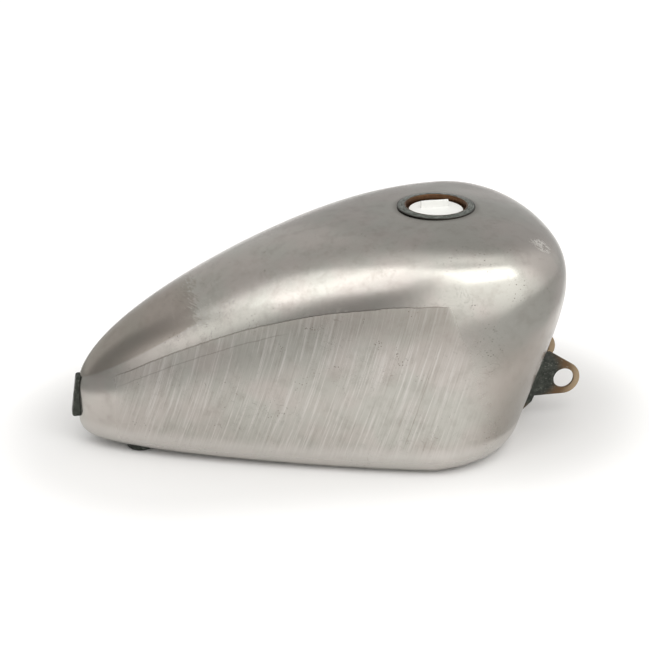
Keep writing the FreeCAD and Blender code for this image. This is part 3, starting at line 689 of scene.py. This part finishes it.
def rounded(corners, radius, steps=4):
    """Profile with each corner swapped for a small arc-like curve."""
    points = []
    count = len(corners)
    for i, corner in enumerate(corners):
        here = Vector(corner)
        before, after = Vector(corners[i - 1]), Vector(corners[(i + 1) % count])
        reach = min(radius, 0.45 * (before - here).length, 0.45 * (after - here).length)
        first = here + (before - here).normalized() * reach
        last = here + (after - here).normalized() * reach
        for step in range(steps + 1):
            t = step / steps
            points.append(tuple(first * (1 - t) ** 2 + here * 2 * t * (1 - t) + last * t * t))
    return points


NECK = {"bore": 29.8, "outside": 31.7, "foot": 208.0, "seat": 225.4, "lip_outside": 38.9,
        "edge_low": 224.5, "edge_high": 225.1, "band": (36.2, 225.7), "rise": (33.2, 226.3),
        "groove": (32.2, 225.8), "crest": (31.2, 226.38), "inner": (30.2, 226.2), "round": 0.45}


def make_neck(material):
    """Rolled filler lip: sloped outer band, shallow groove and thin inner edge."""
    n = NECK
    corners = [(n["bore"], n["foot"]), (n["outside"], n["foot"]), (n["outside"], n["seat"]),
               (n["lip_outside"], n["edge_low"]), (n["lip_outside"], n["edge_high"]),
               n["band"], n["rise"], n["groove"], n["crest"], n["inner"], (n["bore"], n["seat"])]
    neck = lathe("filler_neck_lip", rounded(corners, n["round"]))
    return finish_piece(neck, "tank", material, ["filler_neck"])


WELD_DISTANCE = 3e-6
FLAT_ANGLE = math.radians(0.6)
EDGE_ANGLE = math.radians(38.0)


def softened(node, name, width):
    """Copy of a machined node with its sharp edges broken."""
    work = bmesh.new()
    work.from_mesh(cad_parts[node].data)
    bmesh.ops.remove_doubles(work, verts=work.verts, dist=WELD_DISTANCE)
    bmesh.ops.dissolve_limit(work, angle_limit=FLAT_ANGLE, verts=work.verts, edges=work.edges)
    mesh = bpy.data.meshes.new(name)
    work.to_mesh(mesh)
    work.free()
    item = bpy.data.objects.new(name, mesh)
    bpy.context.scene.collection.objects.link(item)
    mesh.shade_smooth()
    edge = item.modifiers.new("edge", "BEVEL")
    edge.width = width * MM
    edge.segments = 3
    edge.limit_method = "ANGLE"
    edge.angle_limit = EDGE_ANGLE
    even = item.modifiers.new("even", "WEIGHTED_NORMAL")
    even.keep_sharp = True
    return applied(item)


# ------------------------------------------------------------------ stage

AIM = Vector((-0.0006, 0.0, 0.1058))
VIEW_TURN = math.radians(11.5)
VIEW_DROP = math.radians(23.92)
VIEW_DISTANCE = 1.7
SENSOR_WIDTH = 36.0
LENS_LENGTH = 93.6831


def make_camera():
    """Long lens, a little behind the tank's right side and looking down on it."""
    ahead = Vector((math.sin(VIEW_TURN) * math.cos(VIEW_DROP),
                    math.cos(VIEW_TURN) * math.cos(VIEW_DROP), -math.sin(VIEW_DROP)))
    lens = bpy.data.cameras.new("camera")
    lens.sensor_width = SENSOR_WIDTH
    lens.lens = LENS_LENGTH
    lens.clip_start = 0.05
    camera = bpy.data.objects.new("camera", lens)
    camera.location = AIM - VIEW_DISTANCE * ahead
    camera.rotation_euler = ahead.to_track_quat("-Z", "Y").to_euler()
    bpy.context.scene.collection.objects.link(camera)
    bpy.context.scene.camera = camera


FLOOR_REACH = 6000.0
FLOOR_GAP = 0.0005
FLOOR_PALE = (0.87, 0.865, 0.86, 1.0)
FLOOR_GREY = (0.42, 0.42, 0.42, 1.0)
# Distances in metres over which the floor turns grey, and over which its glow comes up, with the
# glow's strength near and far
LEFT_GREY = (-0.335, -0.42)
RIGHT_GREY = (0.35, 0.5)
GLOW_HALF_LENGTH = 0.15
GLOW = (0.13, 0.25, 0.0, 0.26)


def make_floor():
    """Pale floor: plain under the tank, glowing round it, and greyer far to the left and right."""
    reach = FLOOR_REACH
    floor = new_object("floor", [(-reach, -reach, 0), (reach, -reach, 0), (reach, reach, 0),
                                 (-reach, reach, 0)], [(0, 1, 2, 3)], smooth=False)
    floor.location.z = min(cad_low[2], 0.0) - FLOOR_GAP
    g = Graph("floor_white")
    x, y = g.part(g.place, 0), g.part(g.place, 1)
    left = g.ramp(x, *LEFT_GREY)
    right = g.ramp(g.math("SUBTRACT", x, g.math("MULTIPLY", y, 0.4)), *RIGHT_GREY)
    dim = g.math("MAXIMUM", left, g.math("MULTIPLY", right, 0.75))
    along = g.math("MAXIMUM", g.math("SUBTRACT", g.math("ABSOLUTE", x), GLOW_HALF_LENGTH), 0.0)
    away = g.math("SQRT", g.math("ADD", g.math("MULTIPLY", along, along), g.math("MULTIPLY", y, y)))
    glow = g.math("MULTIPLY", g.math("SUBTRACT", 1.0, dim), g.ramp(away, *GLOW))
    g.set(Base_Color=g.blend(dim, FLOOR_PALE, FLOOR_GREY), Emission_Color=(1.0, 1.0, 1.0, 1.0),
          Emission_Strength=glow, Roughness=0.9, Specular_IOR_Level=0.0)
    floor.data.materials.append(g.material)


def light_direction(azimuth, elevation):
    """Unit vector from the object: azimuth 0 is towards -Y, and 90 towards +X."""
    turn, rise = math.radians(azimuth), math.radians(elevation)
    return Vector((math.sin(turn) * math.cos(rise), -math.cos(turn) * math.cos(rise),
                   math.sin(rise)))


LIGHT_AIM = Vector((0.0, 0.0, 0.12))
LIGHT_DISTANCE = 1.6
# Name, azimuth and elevation in degrees, width and height in metres, and brightness
SOFTBOXES = (("front_softbox", 21.0, 53.0, 0.8, 0.75, 1.5),
             ("high_softbox", -48.0, 60.0, 1.1, 0.9, 1.25))


def make_softbox(name, azimuth, elevation, wide, tall, level):
    """Evenly lit panel of the given brightness, facing the tank."""
    light = bpy.data.lights.new(name, "AREA")
    light.shape = "RECTANGLE"
    light.size, light.size_y = wide, tall
    light.energy = level * math.pi * wide * tall
    lamp = bpy.data.objects.new(name, light)
    away = light_direction(azimuth, elevation)
    lamp.location = LIGHT_AIM + LIGHT_DISTANCE * away
    lamp.rotation_euler = (-away).to_track_quat("-Z", "Y").to_euler()
    bpy.context.scene.collection.objects.link(lamp)


class WorldGraph(Graph):
    """The same short way of writing nodes, for the studio's dome."""

    def __init__(self, name):
        world = bpy.data.worlds.new(name)
        world.use_nodes = True
        bpy.context.scene.world = world
        self.tree = world.node_tree
        self.background = self.tree.nodes["Background"]
        self.place = self.node("ShaderNodeTexCoord").outputs["Generated"]


# Elevations and brightness from the walls up to the ceiling, in degrees. Then what is added to
# each part of the dome: the azimuths over which it fades in and out, and ranges of elevation with
# the brightness or share at their two ends, which are multiplied together
CEILING = (58.0, 88.0, 0.52, 1.15)
DOME_PARTS = {
    "lighter_back": ((-85.0, -105.0), None, [(66.0, 44.0, 0.0, 0.16)]),
    "darker_left": ((-58.0, -70.0), (-105.0, -90.0), [(55.0, 35.0, 0.0, -0.18)]),
    "right_wall": ((40.0, 70.0), (150.0, 120.0), [(-10.0, 50.0, 0.2, 0.45)]),
    "dark_patch": ((-48.0, -38.0), (-9.0, -17.0), [(45.0, 30.0, 0.0, -0.24)]),
    "front_wall": ((-19.0, -9.0), (95.0, 22.0), [(78.0, 55.0, 0.0, 1.0), (-5.0, 25.0, 0.8, 1.15)]),
    "bright_strip": ((-66.0, -58.0), (-43.0, -50.0), [(-5.0, 32.0, 0.0, 1.1)]),
}
DOME_TINT = (1.0, 0.995, 0.98)


def make_world():
    """Studio dome: dim walls, a lighter ceiling, and bright panels in front."""
    g = WorldGraph("studio")
    x, y, z = (g.part(g.place, axis) for axis in range(3))
    degrees = g.math("MULTIPLY", g.math("ARCTAN2", x, g.math("MULTIPLY", y, -1.0)), 180.0 / math.pi)
    rise = g.math("MULTIPLY", g.math("ARCSINE", z), 180.0 / math.pi)
    level = g.ramp(rise, *CEILING)
    for fade_in, fade_out, rises in DOME_PARTS.values():
        share = g.ramp(degrees, *fade_in)
        if fade_out:
            share = g.math("MULTIPLY", share, g.ramp(degrees, *fade_out))
        for limits in rises:
            share = g.math("MULTIPLY", share, g.ramp(rise, *limits))
        level = g.math("ADD", level, share)
    tint = g.node("ShaderNodeCombineXYZ")
    for socket, share in zip(tint.inputs, DOME_TINT):
        g.feed(socket, g.math("MULTIPLY", level, share))
    g.feed(g.background.inputs["Color"], tint.outputs[0])


def main():
    """The whole picture: pieces, materials, camera, floor and lights."""
    scene = bpy.context.scene
    scene.view_settings.view_transform = "Standard"
    steel = steel_material()
    ear_steel = tinted_steel_material("ear_steel", *EAR_TINT)
    lug_steel = tinted_steel_material("lug_steel", *LUG_TINT)
    neck_steel = neck_material()
    plastic = plastic_material()
    make_skin(steel)
    make_neck(neck_steel)
    # CAD node, its piece's name, edge width in mm, body, slot and material
    eased = (("right_ear", "right_ear_bracket", 0.35, "tank", "dark_steel", ear_steel),
             ("left_ear", "left_ear_bracket", 0.35, "tank", "dark_steel", ear_steel),
             ("rear_lug", "tail_lug", 0.7, "tank", "dark_steel", lug_steel),
             ("filler_plug", "lift_out_plug", 0.3, "plug", "white_plastic", plastic))
    for node, name, width, body, slot, material in eased:
        finish_piece(softened(node, name, width), body, material, [node])
    kept = {"cam_ring": neck_steel, "petcock_bung": lug_steel, "tunnel": steel,
            "floor_pan": steel}
    for name, finish in kept.items():
        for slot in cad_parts[name].material_slots:
            slot.material = finish
    make_camera()
    make_floor()
    make_world()
    for softbox in SOFTBOXES:
        make_softbox(*softbox)


main()
